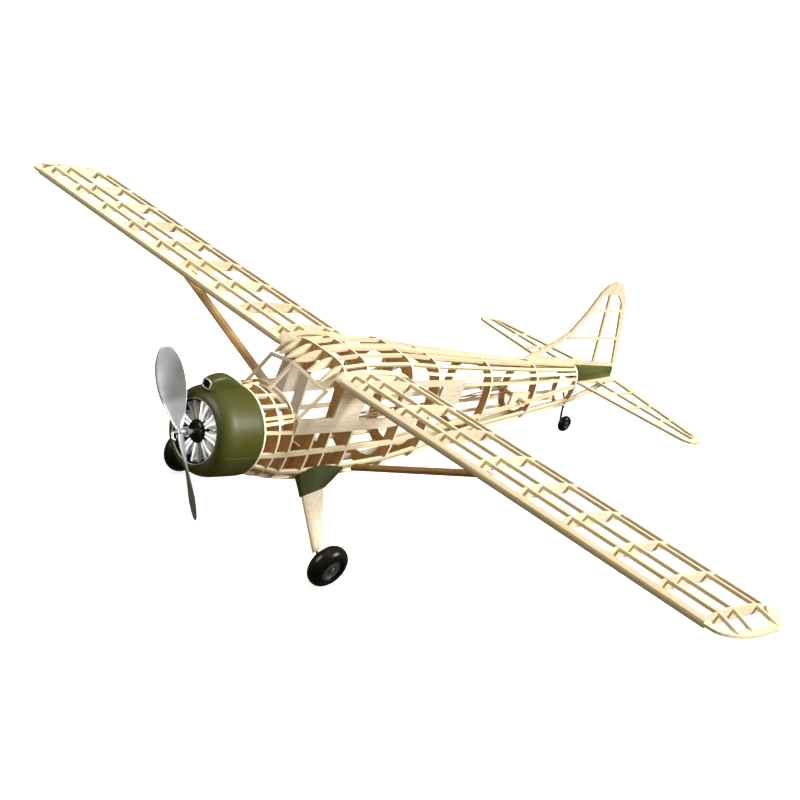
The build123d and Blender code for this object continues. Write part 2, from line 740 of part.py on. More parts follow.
def wing_tip():
    """Tip plate with its opening, in the plane of the underside."""
    z = tip_height()
    tip = sheet_z(tip_outline(0.0), z, SHEET) - sheet_z(tip_outline(5.2), z - 1, 4)
    return tip


def wing():
    """All the port wing's pieces by name, without the strut."""
    spars = [spar(d) for d in TOP_SPARS] + [spar(BOTTOM_SPAR, top=False)]
    ribs = [rib(ROOT_X + SHEET / 2)] + [rib(FIRST_RIB + RIB_PITCH * i) for i in range(RIB_COUNT)]
    leading = wing_leading_edge()
    trailing = wing_trailing_edge()
    tip = minus(wing_tip(), leading, trailing, *spars)
    ribs = [minus(r, *spars, leading, trailing, tip) for r in ribs]
    ribs.append(largest(minus(root_cap(), *spars, *ribs, leading, trailing)))
    return {"wing_spars": group(*spars), "wing_ribs": group(*ribs), "wing_leading_edge": leading,
            "wing_trailing_edge": trailing, "wing_tip": largest(tip)}


def wing_strut():
    """Flat streamlined strut from the fuselage side to the plate under the wing."""
    plate_z = wing_base(STRUT_X, STRUT_Y) - SHEET - 0.2
    foot = Vector(*STRUT_FOOT)
    head = Vector(STRUT_X, STRUT_Y, plate_z)
    way = (head - foot).normalized()
    chord = (Vector(0, 1, 0) - way * way.Y).normalized() * (STRUT_CHORD / 2)
    thick = way.cross(chord).normalized() * (STRUT_THICK / 2)
    outline = [(-1, 0.15), (-0.6, 0.9), (0, 1), (0.6, 0.7), (1, 0.1)]
    outline += [(t, -h) for t, h in reversed(outline)]
    start = foot - way * 6
    ring = [tuple(start + chord * t + thick * h) for t, h in outline]
    bar = flat_sheet(ring, tuple(head + way * 6 - start))
    bar = bar & block((foot.X, STRUT_X + 20), (0, 200), (-60, plate_z))
    pad = block((STRUT_X - 4, STRUT_X + 4), (STRUT_Y - 6, STRUT_Y + 6), (plate_z, plate_z + SHEET))
    return largest(bar), pad


# ---- tail -------------------------------------------------------------------------------
def tailplane():
    """Edges, spar and ribs of the flat tailplane."""
    z = STAB_Z
    root = 8.0
    front = [(root, 337.0), (90, 347.4), (90, 350.4), (root, 340.6)]
    back = [(root, 384.0), (90, 366.6), (90, 372.4), (root, 390.0)]
    tip = [(90, 347.4), (95.5, 348.6), (99.2, 351.6), (101, 357), (100.4, 364), (97.6, 369.6),
           (90, 372.4), (90, 366.6), (94.4, 363.6), (95.6, 358), (94.2, 353.2), (90, 350.4)]
    middle = [(-root, 337.0), (root, 337.0), (root, 390.0), (-root, 390.0)]
    edges = [sheet_z(middle, z, SHEET)]
    bars = []
    spar_y = (361.0, 363.0)
    for _, side in SIDES:
        for outline in (front, back, tip):
            edges.append(sheet_z([(side * x, y) for x, y in outline], z, SHEET))
        bars.append(block(sorted((side * root, side * 95.4)), spar_y, (z, z + SHEET)))
        for x in (27.0, 48.0, 69.0):
            lead = 340.6 + 9.8 * (x - root) / (90 - root)
            trail = 384.0 - 17.4 * (x - root) / (90 - root)
            ends = sorted((side * x - 0.8, side * x + 0.8))
            for y in ((lead - 0.4, spar_y[0]), (spar_y[1], trail + 0.4)):
                bars.append(block(ends, y, (z, z + SHEET)))
    bars = [minus(bar, *edges) for bar in bars]
    return group(*edges), group(*bars)


def fin():
    """Outline, post and ribs of the fin and rudder, one flat frame."""
    x = -SHEET / 2
    base = [(277, 43.0), (282, 40.6), (336, 37.4), (386, 35.2), (386, 37.8), (336, 40.4), (290, 44.4)]
    lead = [(277, 43.0), (296.2, 50.2), (317.8, 62.1), (329.6, 78), (336.9, 91.9), (340.6, 90.4),
            (333.4, 76), (320.6, 59.6), (297.4, 46.4), (290, 44.4)]
    cap = [(336.9, 91.9), (342.4, 97.6), (349.6, 100.4), (356.4, 99.6), (363.2, 94.4), (370.1, 85.9),
           (365.6, 84.4), (358.4, 90.4), (348.6, 91.2), (340.6, 90.4)]
    trail = [(370.1, 85.9), (388.2, 37.0), (386, 35.2), (386, 37.8), (383.6, 37.9), (365.6, 84.4)]
    post = [(358.4, 39.3), (361.2, 39.1), (349.8, 91.1), (347.2, 91.08)]
    pieces = [sheet_x(points, x, SHEET) for points in (base, lead, cap, trail, post)]
    ribs = []
    for z, y0, y1 in ((57.4, 318.2, 376.2), (78.6, 334.4, 368.0)):
        bar = block((x, -x), (y0, y1), (z - 1.0, z + 1.0))
        ribs.extend(minus(bar, *pieces).solids())
    return group(*pieces, *ribs)


def tail_block():
    """Moulded block between the fin and the tailplane."""
    low = STAB_Z + SHEET
    sections = []
    for y, half, high in ((337.6, 8.0, 37.2), (352.0, 6.6, 36.4), (370.0, 4.2, 35.8), (386.0, 1.6, 35.0)):
        shoulder = low + (high - low) * 0.62
        sections.append([(half, y, low), (half * 0.92, y, shoulder), (half * 0.45, y, high),
                         (-half * 0.45, y, high), (-half * 0.92, y, shoulder), (-half, y, low)])
    return ruled(sections)


def tail_wire():
    """Wire from the keel, bent to carry the tail wheel."""
    _, y, z = TAIL_WHEEL
    reach = TAIL_WHEEL_HALF + 1.6
    beside = -SHEET / 2 - WIRE_R
    return wire([(beside, 341.0, 15.0), (beside, 347.5, 5.0), (-reach, 352.6, -2.2), (-reach, y, z),
                 (reach, y, z)], 1.0)


# ---- assembly ---------------------------------------------------------------------------
def build():
    """Fill PARTS with every node in the level frame."""
    strips = fuselage_strips()
    panels = {name: mirrored(cabin_side(), side) for name, side in SIDES}
    peg, peg_plates = motor_peg()
    long_members = list(strips.values()) + list(panels.values())
    PARTS.update(formers(long_members))
    PARTS.update(strips)
    for name, side in SIDES:
        PARTS["cabin_side_" + name] = panels[name]
    screen = windscreen()
    PARTS["windscreen"], PARTS["windscreen_posts"] = screen
    PARTS["former_3_dash"] = largest(minus(PARTS["former_3_dash"], *screen))
    PARTS["roof_riblets"] = group(*roof_riblets())
    PARTS["motor_peg"] = peg
    PARTS["peg_plates"] = group(*[largest(minus(p, *strips.values())) for p in peg_plates])

    PARTS["cowl"], PARTS["cowl_lip"] = cowl()
    PARTS["dummy_engine"], PARTS["engine_plate"] = dummy_engine()
    PARTS["crankcase"] = crankcase_blank()
    PARTS["intake_scoop"] = intake_scoop()
    PARTS["nose_bearing"] = nose_bearing()
    PARTS["nose_block"] = nose_block()
    PARTS["propeller"] = propeller()
    PARTS["prop_shaft"] = prop_shaft()
    PARTS["rubber_motor"] = rubber_motor()

    wire_port = axle()
    leg = minus(gear_leg(), wire_port, gear_fairing())
    tyre, hub = wheel(TYRE_R, WHEEL_HALF, WHEEL_HUB_R)
    PARTS["gear_fairings"] = group(gear_fairing(), mirrored(gear_fairing(), -1))
    PARTS["gear_legs"] = group(leg, mirrored(leg, -1))
    PARTS["axle_wires"] = group(wire_port, mirrored(wire_port, -1))
    wing_pieces = wing()
    strut, pad = wing_strut()
    for name, side in SIDES:
        place = Pos(side * WHEEL[0], WHEEL[1], WHEEL[2]) * Rot(0, side * WHEEL_LEAN, 0) * Rot(0, 0, 90)
        PARTS["tyre_" + name] = place * tyre
        PARTS["hub_" + name] = place * hub
        for node, shape in wing_pieces.items():
            PARTS[node + "_" + name] = mirrored(shape, side)
        PARTS["wing_strut_" + name] = mirrored(group(strut, pad), side)

    PARTS["tailplane_edges"], PARTS["tailplane_ribs"] = tailplane()
    PARTS["fin"] = fin()
    PARTS["tail_block"] = minus(tail_block(), PARTS["fin"])
    PARTS["tail_wheel_wire"] = tail_wire()
    tail_tyre, tail_hub = wheel(TAIL_TYRE_R, TAIL_WHEEL_HALF, TAIL_HUB_R)
    place = Pos(*TAIL_WHEEL) * Rot(0, 0, 90)
    PARTS["tail_tyre"] = place * tail_tyre
    PARTS["tail_hub"] = place * tail_hub


def stance():
    """The turn and shift that stand the model on its three wheels, centred."""
    run = TAIL_WHEEL[1] - WHEEL[1]
    rise = TAIL_WHEEL[2] - WHEEL[2]
    drop = WHEEL_HALF + (TYRE_R - WHEEL_HALF) * wheel_axis().X
    pitch = math.degrees(math.atan2(rise, run) + math.asin((drop - TAIL_TYRE_R) / math.hypot(run, rise)))
    turn = Rot(-pitch, 0, 0)
    box = Compound(children=[turn * shape for shape in PARTS.values()]).bounding_box()
    middle = (box.min.Y + box.max.Y) / 2
    return Pos(0, -middle, -box.min.Z) * turn


def main():
    """Write one STEP for each node."""
    build()
    place = stance()
    os.makedirs("parts", exist_ok=True)
    for name, shape in PARTS.items():
        export_step(place * shape, "parts/" + name + ".step")


if __name__ == "__main__":
    main()
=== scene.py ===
"""Looks for the uncovered balsa aeroplane: bare wood, moulded plastic, film and wire.

Lengths in the tables are millimetres in the level flight frame: x port, y aft, z up, with
the origin where the thrust line meets the front of the cowl. at() takes them to the scene.
"""

import json
import math
import random

import bmesh
import bpy
from mathutils import Matrix, Vector


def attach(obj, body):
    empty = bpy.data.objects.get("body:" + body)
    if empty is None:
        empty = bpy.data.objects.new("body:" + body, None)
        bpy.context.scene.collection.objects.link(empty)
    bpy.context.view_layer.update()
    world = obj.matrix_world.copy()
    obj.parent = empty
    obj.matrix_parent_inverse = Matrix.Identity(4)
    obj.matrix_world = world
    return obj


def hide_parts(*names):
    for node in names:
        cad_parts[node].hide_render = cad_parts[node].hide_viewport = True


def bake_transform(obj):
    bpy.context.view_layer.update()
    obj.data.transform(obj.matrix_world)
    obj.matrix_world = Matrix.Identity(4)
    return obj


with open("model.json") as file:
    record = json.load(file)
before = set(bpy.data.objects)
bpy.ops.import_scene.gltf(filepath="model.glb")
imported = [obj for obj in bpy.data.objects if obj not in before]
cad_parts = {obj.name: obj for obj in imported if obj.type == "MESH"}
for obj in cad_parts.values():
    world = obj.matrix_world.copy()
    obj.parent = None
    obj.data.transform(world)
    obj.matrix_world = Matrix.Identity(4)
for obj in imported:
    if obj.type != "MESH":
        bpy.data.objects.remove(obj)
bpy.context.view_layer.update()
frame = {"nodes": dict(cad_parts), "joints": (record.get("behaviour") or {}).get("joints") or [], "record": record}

MM = 0.001
JOINTS = {joint["name"]: joint for joint in frame["joints"]}
NOSE = Vector(JOINTS["prop_spin"]["pos_m"])
PORT = Vector((1, 0, 0))
AFT = Vector(JOINTS["prop_spin"]["axis"]).normalized()
UP = PORT.cross(AFT)
PITCH = math.atan2(-AFT.z, AFT.y)


def at(x, y, z):
    """A point of the level frame, given in millimetres."""
    return NOSE + (PORT * x + AFT * y + UP * z) * MM


def toward(x, y, z):
    """A direction of the level frame."""
    return (PORT * x + AFT * y + UP * z).normalized()


def level(vector):
    """A scene vector as its parts along the level frame's axes."""
    return Vector((vector.dot(PORT), vector.dot(AFT), vector.dot(UP)))


# ---- shader helpers ------------------------------------------------------------------------
class Shader:
    """A material's node tree, built by short calls."""

    def __init__(self, name):
        self.material = bpy.data.materials.new(name)
        self.material.use_nodes = True
        self.tree = self.material.node_tree
        self.bsdf = self.tree.nodes["Principled BSDF"]

    def node(self, kind, **settings):
        made = self.tree.nodes.new(kind)
        for key, value in settings.items():
            setattr(made, key, value)
        return made

    def link(self, source, target):
        self.tree.links.new(source, target)

    def put(self, socket, value):
        """Sets a socket to a number or colour, or links it."""
        if isinstance(value, bpy.types.NodeSocket):
            self.link(value, socket)
        elif isinstance(value, (tuple, list)) and len(value) == 3 and socket.type == "RGBA":
            socket.default_value = (*value, 1.0)
        else:
            socket.default_value = value

    def grain_space(self, scale, shift=None, turned=None):
        """Object coordinates turned to the level frame, or so that a member runs upright, and stretched."""
        coords = self.node("ShaderNodeTexCoord").outputs["Object"]
        if shift is not None:
            add = self.node("ShaderNodeVectorMath", operation="ADD")
            self.link(coords, add.inputs[0])
            self.link(shift, add.inputs[1])
            coords = add.outputs[0]
        turn = self.node("ShaderNodeMapping")
        turn.inputs["Rotation"].default_value = (PITCH, 0.0, 0.0)
        self.link(coords, turn.inputs["Vector"])
        if turned is not None:
            both = self.node("ShaderNodeVectorMath", operation="ABSOLUTE")
            self.link(turn.outputs[0], both.inputs[0])
            turn = self.node("ShaderNodeMapping")
            turn.inputs["Rotation"].default_value = turned
            self.link(both.outputs[0], turn.inputs["Vector"])
        stretch = self.node("ShaderNodeMapping")
        stretch.inputs["Scale"].default_value = scale
        self.link(turn.outputs[0], stretch.inputs["Vector"])
        return stretch.outputs[0]

    def noise(self, vector, scale=1.0, detail=4.0, rough=0.55, distortion=0.0):
        made = self.node("ShaderNodeTexNoise")
        self.link(vector, made.inputs["Vector"])
        made.inputs["Scale"].default_value = scale
        made.inputs["Detail"].default_value = detail
        made.inputs["Roughness"].default_value = rough
        made.inputs["Distortion"].default_value = distortion
        return made.outputs["Fac"]

    def span(self, value, low, high, to_low=0.0, to_high=1.0):
        made = self.node("ShaderNodeMapRange")
        made.clamp = True
        self.link(value, made.inputs["Value"])
        for name, number in (("From Min", low), ("From Max", high), ("To Min", to_low), ("To Max", to_high)):
            made.inputs[name].default_value = number
        return made.outputs["Result"]

    def mix(self, share, a, b, blend="MIX"):
        made = self.node("ShaderNodeMix", data_type="RGBA", blend_type=blend)
        self.put(made.inputs[0], share)
        self.put(made.inputs[6], a)
        self.put(made.inputs[7], b)
        return made.outputs[2]

    def math(self, operation, a, b=0.0):
        made = self.node("ShaderNodeMath", operation=operation)
        self.put(made.inputs[0], a)
        self.put(made.inputs[1], b)
        return made.outputs[0]

    def attribute(self, name):
        return self.node("ShaderNodeAttribute", attribute_name=name)

    def bump(self, height, strength, distance):
        made = self.node("ShaderNodeBump")
        made.inputs["Strength"].default_value = strength
        made.inputs["Distance"].default_value = distance
        self.link(height, made.inputs["Height"])
        self.link(made.outputs[0], self.bsdf.inputs["Normal"])

    def finish(self, **inputs):
        for name, value in inputs.items():
            self.put(self.bsdf.inputs[name.replace("_", " ")], value)
        return self.material


EVEN = (1.0, 1.0, 1.0)            # a texture space in plain metres
ACROSS, ALONG = 620.0, 22.0       # grain streaks per metre, over and along the fibres
PATCH = 34.0                      # pale patches per metre, the same in every direction
BRUSHED = (520.0, 520.0, 30.0)    # streaks in paint, along the part
GRAIN_DEPTH, PEEL_DEPTH, RIPPLE_DEPTH = 0.0003, 0.0002, 0.0005      # bump heights in metres
GRAIN = {
    "x": (ALONG, ACROSS, ACROSS),
    "y": (ACROSS, ALONG, ACROSS),
    "z": (ACROSS, ACROSS, ALONG),
}


def upright(x, y, z):
    """The turn that brings a direction of the level frame upright, taken on the port side."""
    way = Vector((abs(x), abs(y), abs(z))).normalized()
    return tuple(way.rotation_difference(Vector((0, 0, 1))).to_euler("XYZ"))


def balsa(name, grain, pale=(0.95, 0.90, 0.74), dark=(0.82, 0.68, 0.43), edge=(0.60, 0.38, 0.15), burn_and_lit_edge_share=0.25,
          turned=None, lines=0.45):
    """Bare balsa: long streaks, short pores, a tint for each piece and a colour on its cut edges: darker laser
    burn on most pieces, a cream painted highlight on the formers.
    """
    s = Shader(name)
    shift = s.attribute("piece").outputs["Vector"] if turned is None else None
    tint = s.attribute("tint").outputs["Fac"]
    cut = s.attribute("cut").outputs["Fac"]
    scale = GRAIN[grain]
    streaks = s.noise(s.grain_space(scale, shift, turned), detail=5.0, rough=0.62, distortion=0.2)
    fibres = s.noise(s.grain_space([v * 4.2 for v in scale], shift, turned), detail=3.0, rough=0.6)
    pores = s.noise(s.grain_space([v * (2.4 if v > 100 else 9.0) for v in scale], shift, turned), detail=1.0)
    patch = s.noise(s.grain_space((PATCH, PATCH, PATCH), shift, turned), detail=2.0)
    colour = s.mix(s.span(streaks, 0.40, 0.72), pale, dark)
    colour = s.mix(s.span(pores, 0.62, 0.74, 0.0, lines), colour, [v * 0.55 for v in dark])
    colour = s.mix(s.span(patch, 0.35, 0.75, 0.0, 0.4), colour, [min(1.0, v * 1.06) for v in pale])
    light = s.mix(tint, (0.86, 0.80, 0.70), (1.06, 1.05, 1.02))
    colour = s.mix(1.0, colour, light, blend="MULTIPLY")
    # cut edges: darker laser burn on most pieces, a cream painted highlight on the formers
    colour = s.mix(s.math("MULTIPLY", cut, burn_and_lit_edge_share), colour, edge)
    height = s.math("ADD", s.math("MULTIPLY", fibres, 0.6), streaks)
    s.bump(height, 0.30, GRAIN_DEPTH)
    rough = s.span(streaks, 0.3, 0.7, 0.62, 0.82)
    return s.finish(Base_Color=colour, Roughness=rough, Specular_IOR_Level=0.22)


def moulded(name, colour, rough, wear=0.12, scuff=(0.5, 0.5, 0.5), metallic=0.0, coat=0.0, streak=None,
            shine=0.5):
    """Moulded plastic: faint flow marks, fine orange peel and a little handling wear."""
    s = Shader(name)
    space = s.grain_space(EVEN)
    cloud = s.noise(space, scale=38.0, detail=3.0)
    speck = s.noise(space, scale=900.0, detail=2.0)
    peel = s.noise(space, scale=420.0, detail=2.0)
    darker = [v * (1 - wear) for v in colour]
    lighter = [min(1, v * (1 + wear)) for v in colour]
    shade = s.mix(s.span(cloud, 0.3, 0.7), darker, lighter)
    shade = s.mix(s.span(speck, 0.70, 0.82, 0.0, wear * 0.6), shade, scuff)
    if streak is not None:
        along = s.noise(s.grain_space(BRUSHED, None, streak), detail=3.0)
        shade = s.mix(s.span(along, 0.5, 0.8, 0.0, 0.3), shade, [v * 2.6 for v in colour])
    s.bump(peel, 0.10, PEEL_DEPTH)
    return s.finish(Base_Color=shade, Roughness=s.span(cloud, 0.3, 0.7, rough * 0.85, rough * 1.15),
                    Metallic=metallic, Coat_Weight=coat, Coat_Roughness=0.2, Specular_IOR_Level=shine)


LEG_TURN = upright(24.0, -7.0, -24.6)         # the way a leg runs, from fairing to axle
STRUT_TURN = upright(104.8, -29.0, 54.6)      # the way a wing strut runs
# painted shade: the browns of the formers' faces, which sit in shade inside the fuselage
PAINTED_SHADE_BROWN, PAINTED_SHADE_DEEP = (0.70, 0.50, 0.28), (0.50, 0.31, 0.14)
CREAM = (0.95, 0.87, 0.70)
BALSA = {
    "x": balsa("balsa_along_span", "x"),
    "y": balsa("balsa_along_fuselage", "y"),
    "z": balsa("balsa_upright", "z"),
    "rib": balsa("balsa_ribs", "y", burn_and_lit_edge_share=0.0),
    # formers: faces in painted shade, cut edges in a cream painted highlight
    "former": balsa("balsa_formers_painted_shade_and_light", "z", pale=PAINTED_SHADE_BROWN, dark=PAINTED_SHADE_DEEP, edge=CREAM, burn_and_lit_edge_share=1.0),
    "side": balsa("balsa_cabin_side", "y", pale=(0.90, 0.86, 0.76), dark=(0.76, 0.66, 0.50), burn_and_lit_edge_share=0.5,
                  lines=0.7),
}
# painted shade: the struts are given a dark brown for their shaded undersides
STRUT_PAINTED_SHADE_WOOD = balsa("balsa_strut", "z", pale=(0.62, 0.42, 0.22), dark=(0.40, 0.24, 0.10), burn_and_lit_edge_share=0.0,
                   turned=STRUT_TURN)
LEG_WOOD = balsa("balsa_leg", "z", pale=(0.94, 0.88, 0.74), dark=(0.80, 0.68, 0.48), burn_and_lit_edge_share=0.0,
                 turned=LEG_TURN, lines=0.8)
POST_WOOD = balsa("balsa_window_post", "x", pale=CREAM, dark=(0.84, 0.72, 0.52), burn_and_lit_edge_share=0.1)
DOWEL = balsa("hardwood_dowel", "x", pale=(0.80, 0.62, 0.38), dark=(0.62, 0.42, 0.22), burn_and_lit_edge_share=0.0)
OLIVE = moulded("olive_plastic", (0.066, 0.074, 0.010), 0.42, scuff=(0.20, 0.21, 0.08), shine=0.32)
OLIVE_DARK = moulded("olive_painted", (0.036, 0.047, 0.007), 0.40, scuff=(0.16, 0.17, 0.06),
                     streak=LEG_TURN, shine=0.4)
BLACK = moulded("black_plastic", (0.003, 0.003, 0.003), 0.14, scuff=(0.03, 0.03, 0.03), shine=0.2)
PLATE = moulded("dark_plate", (0.030, 0.030, 0.032), 0.50)
SILVER = moulded("silver_plastic", (0.88, 0.89, 0.90), 0.34, wear=0.06, metallic=0.25, scuff=(0.6, 0.6, 0.6))
GREY = moulded("propeller_plastic", (0.33, 0.36, 0.39), 0.30, metallic=0.45, coat=0.3)
LIP = moulded("pale_plastic", (0.36, 0.37, 0.24), 0.35)
CHROME = moulded("bright_rim", (0.80, 0.80, 0.78), 0.25, metallic=0.4)
HUB = moulded("hub_plastic", (0.105, 0.115, 0.125), 0.30, metallic=0.5)
TYRE = moulded("tyre_rubber", (0.003, 0.003, 0.0035), 0.27, scuff=(0.02, 0.02, 0.02), shine=0.3)
STEEL = moulded("steel_wire", (0.42, 0.42, 0.43), 0.26, metallic=0.9)
BRASS = moulded("plated_tube", (0.62, 0.60, 0.55), 0.28, metallic=1.0)
RUBBER = moulded("rubber_strip", (0.42, 0.28, 0.14), 0.55)


def film():
    """Clear formed sheet with faint ripples."""
    s = Shader("clear_film")
    ripple = s.noise(s.grain_space(EVEN), scale=60.0, detail=1.0)
    s.bump(ripple, 0.15, RIPPLE_DEPTH)
    return s.finish(Base_Color=(0.90, 0.93, 0.93), Roughness=0.06, Alpha=0.14, IOR=1.45)


FILM = film()

PAINT = {
    "windscreen": FILM, "windscreen_posts": POST_WOOD, "motor_peg": DOWEL, "engine_plate": PLATE,
    "crankcase": BLACK, "nose_bearing": BRASS, "axle_wires": STEEL,
    "gear_legs": LEG_WOOD, "tail_block": OLIVE, "tail_wheel_wire": STEEL,
    "wing_strut_port": STRUT_PAINTED_SHADE_WOOD, "wing_strut_starboard": STRUT_PAINTED_SHADE_WOOD,
}
GRAIN_OF = (
    ("wing_spars", "x"), ("wing_leading", "x"), ("wing_trailing", "x"), ("tailplane_edges", "x"),
    ("former_", "former"), ("fin", "z"), ("wing_tip", "y"), ("wing_ribs", "rib"), ("cabin_side", "side"),
    ("roof_riblets", "rib"), ("tailplane_ribs", "rib"),
)


def grain_of(node):
    for start, grain in GRAIN_OF:
        if node.startswith(start):
            return grain
    return "y"


# ---- meshes made here ------------------------------------------------------------------------
SLOT = {part["node"]: part["material_slot"] for part in frame["record"]["subparts"]}
BODY = {node: body for body, nodes in frame["record"]["behaviour"]["bodies"].items() for node in nodes}
BLENDED = ("rubber_motor",)


class Form:
    """Points and faces of one piece, added shell by shell, in level-frame millimetres."""

    def __init__(self):
        self.points = []
        self.faces = []

    def grid(self, rows, around=True, rings=False, caps=False):
        """Quads over rows of points; around joins each row's ends, rings the first and last row."""
        base, count = len(self.points), len(rows[0])
        for row in rows:
            self.points.extend(row)
        spans = len(rows) if rings else len(rows) - 1
        for i in range(spans):
            here, there = base + i * count, base + (i + 1) % len(rows) * count
            for k in range(count if around else count - 1):
                k1 = (k + 1) % count
                self.faces.append((here + k, here + k1, there + k1, there + k))
        if caps:
            self.faces.append(tuple(base + k for k in range(count)))
            last = base + (len(rows) - 1) * count
            self.faces.append(tuple(last + k for k in reversed(range(count))))

    def turned(self, profile, place, steps=96):
        """A closed (radius, height) profile turned a full circle; place gives each point."""
        rows = [[place(r, h, math.tau * i / steps) for r, h in profile] for i in range(steps)]
        self.grid(rows, around=True, rings=True)

    def tube(self, path, radius, sides=14, flat=1.0):
        """A round rod along points, or an oval one where flat is not 1."""
        path = [Vector(p) for p in path]
        side = None
        rows = []
        for i, point in enumerate(path):
            way = (path[min(i + 1, len(path) - 1)] - path[max(i - 1, 0)]).normalized()
            if side is None:
                side = way.orthogonal().normalized()
            side = (side - way * side.dot(way)).normalized()
            other = way.cross(side)
            rows.append([tuple(point + side * radius * math.cos(a) + other * radius * flat * math.sin(a))
                         for a in (math.tau * k / sides for k in range(sides))])
        self.grid(rows, caps=True)

    def piece(self, name, paint, node, sharp=35.0):
        """The object: it rides on the node's body and replaces it."""
        mesh = bpy.data.meshes.new(name)
        mesh.from_pydata([at(*p) for p in self.points], [], self.faces)
        bm = bmesh.new()
        bm.from_mesh(mesh)
        bmesh.ops.remove_doubles(bm, verts=bm.verts, dist=1e-6)
        bmesh.ops.recalc_face_normals(bm, faces=bm.faces)
        bm.to_mesh(mesh)
        bm.free()
        mesh.shade_smooth()
        mesh.set_sharp_from_angle(angle=math.radians(sharp))
        mesh.materials.append(paint)
        obj = bpy.data.objects.new(name, mesh)
        bpy.context.scene.collection.objects.link(obj)
        if node not in BLENDED:
            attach(obj, BODY[node])
        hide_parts(node)
        return obj


def about_thrust(r, h, a):
    return (r * math.cos(a), h, r * math.sin(a))


def spline(table, t):
    """Smooth values through the rows of a table, at a row position t."""
    i = min(int(t), len(table) - 2)
    u = t - i
    rows = [table[max(i - 1, 0)], table[i], table[i + 1], table[min(i + 2, len(table) - 1)]]
    values = []
    for a, b, c, d in zip(*rows):
        square = 2 * a - 5 * b + 4 * c - d
        cube = 3 * b - a - 3 * c + d
        values.append(0.5 * (2 * b + (c - a) * u + square * u * u + cube * u ** 3))
    return values


COWL_R, MOUTH_R, COWL_LENGTH, COWL_WALL = 26.5, 18.9, 29.2, 0.8
SHOULDER_R, SHOULDER_Y = COWL_R - 0.25, 10.5      # where the rolled front ends
WAVY_FROM = 14.0                                  # the uneven rear edge fades out in front of this
SEAM = math.radians(-9.0)
SEAM_HALF, SEAM_STEP, SEAM_DEPTH = 0.004, 0.006, 0.22       # two angles in radians and a depth
EDGE_DEPTH = 0.12                                 # how much the rear edge is rounded in


def cowl():
    """Moulded cowl: rolled mouth, a mould seam low on each side and a slightly uneven rear edge."""
    outer = []
    for i in range(15):
        t = math.radians(90 * i / 14)
        outer.append((MOUTH_R + (SHOULDER_R - MOUTH_R) * math.sin(t), SHOULDER_Y * (1 - math.cos(t))))
    for i in range(1, 13):
        u = i / 12
        swell = (COWL_R - SHOULDER_R) * math.sin(math.pi * 0.62 * u)
        outer.append((SHOULDER_R + swell, SHOULDER_Y + (COWL_LENGTH - SHOULDER_Y) * u))
    inner = [(r - COWL_WALL, max(h, COWL_WALL)) for r, h in reversed(outer)]
    inner = [(r, h) for r, h in inner if r > MOUTH_R - COWL_WALL / 2] + [(MOUTH_R, 1.5)]
    profile = outer + inner
    steps = 220
    angles = [math.tau * i / steps for i in range(steps)]
    for seam in (SEAM, math.pi - SEAM):
        seam %= math.tau
        angles += [(seam + d * SEAM_STEP) % math.tau for d in (-2, -1, 0, 1, 2)]
    rows = []
    for a in sorted(set(angles)):
        near = min(abs((a - seam + math.pi) % math.tau - math.pi) for seam in (SEAM, math.pi - SEAM))
        row = []
        for k, (r, h) in enumerate(profile):
            on_skirt = k < len(outer) and h > 5.0
            if on_skirt and near < SEAM_HALF:
                r -= SEAM_DEPTH
            if on_skirt and h > COWL_LENGTH - 0.1:
                r -= EDGE_DEPTH
            wave = 0.14 * math.sin(3 * a + 0.6) + 0.08 * math.sin(7 * a)
            share = max(0.0, (h - WAVY_FROM) / (COWL_LENGTH - WAVY_FROM))
            row.append(about_thrust(r + 0.05 * math.sin(5 * a) * share, h + min(0.0, wave - 0.16) * share, a))
        rows.append(row)
    form = Form()
    form.grid(rows, around=True, rings=True)
    form.piece("cowl_shell", OLIVE, "cowl")


def cowl_lip():
    """Thin pale bead round the mouth."""
    form = Form()
    bead = [(MOUTH_R - 0.30 + 0.42 * math.cos(t), 0.52 + 0.50 * math.sin(t))
            for t in (math.tau * k / 12 for k in range(12))]
    form.turned(bead, about_thrust, 144)
    form.piece("cowl_bead", LIP, "cowl_lip")


CYLINDERS, CASE_R, HEAD_R = 9, 6.9, 17.6
BARREL_R, BARREL_Y = 2.1, 6.0
FINS, FIN_PITCH = 9, 0.98


def barrel_profile():
    """The (radius, height) outline of one finned cylinder, from the crankcase to its head."""
    profile = [(0.05, CASE_R), (BARREL_R, CASE_R), (BARREL_R, CASE_R + 0.5)]
    for k in range(FINS):
        z = CASE_R + 0.7 + FIN_PITCH * k
        out = 2.55 + 0.35 * math.sin(math.pi * (k + 1) / (FINS + 1))
        profile += [(BARREL_R, z), (out, z + 0.08), (out, z + 0.42), (BARREL_R, z + 0.5)]
    return profile + [(2.2, HEAD_R - 1.4), (1.7, HEAD_R - 0.2), (0.05, HEAD_R)]


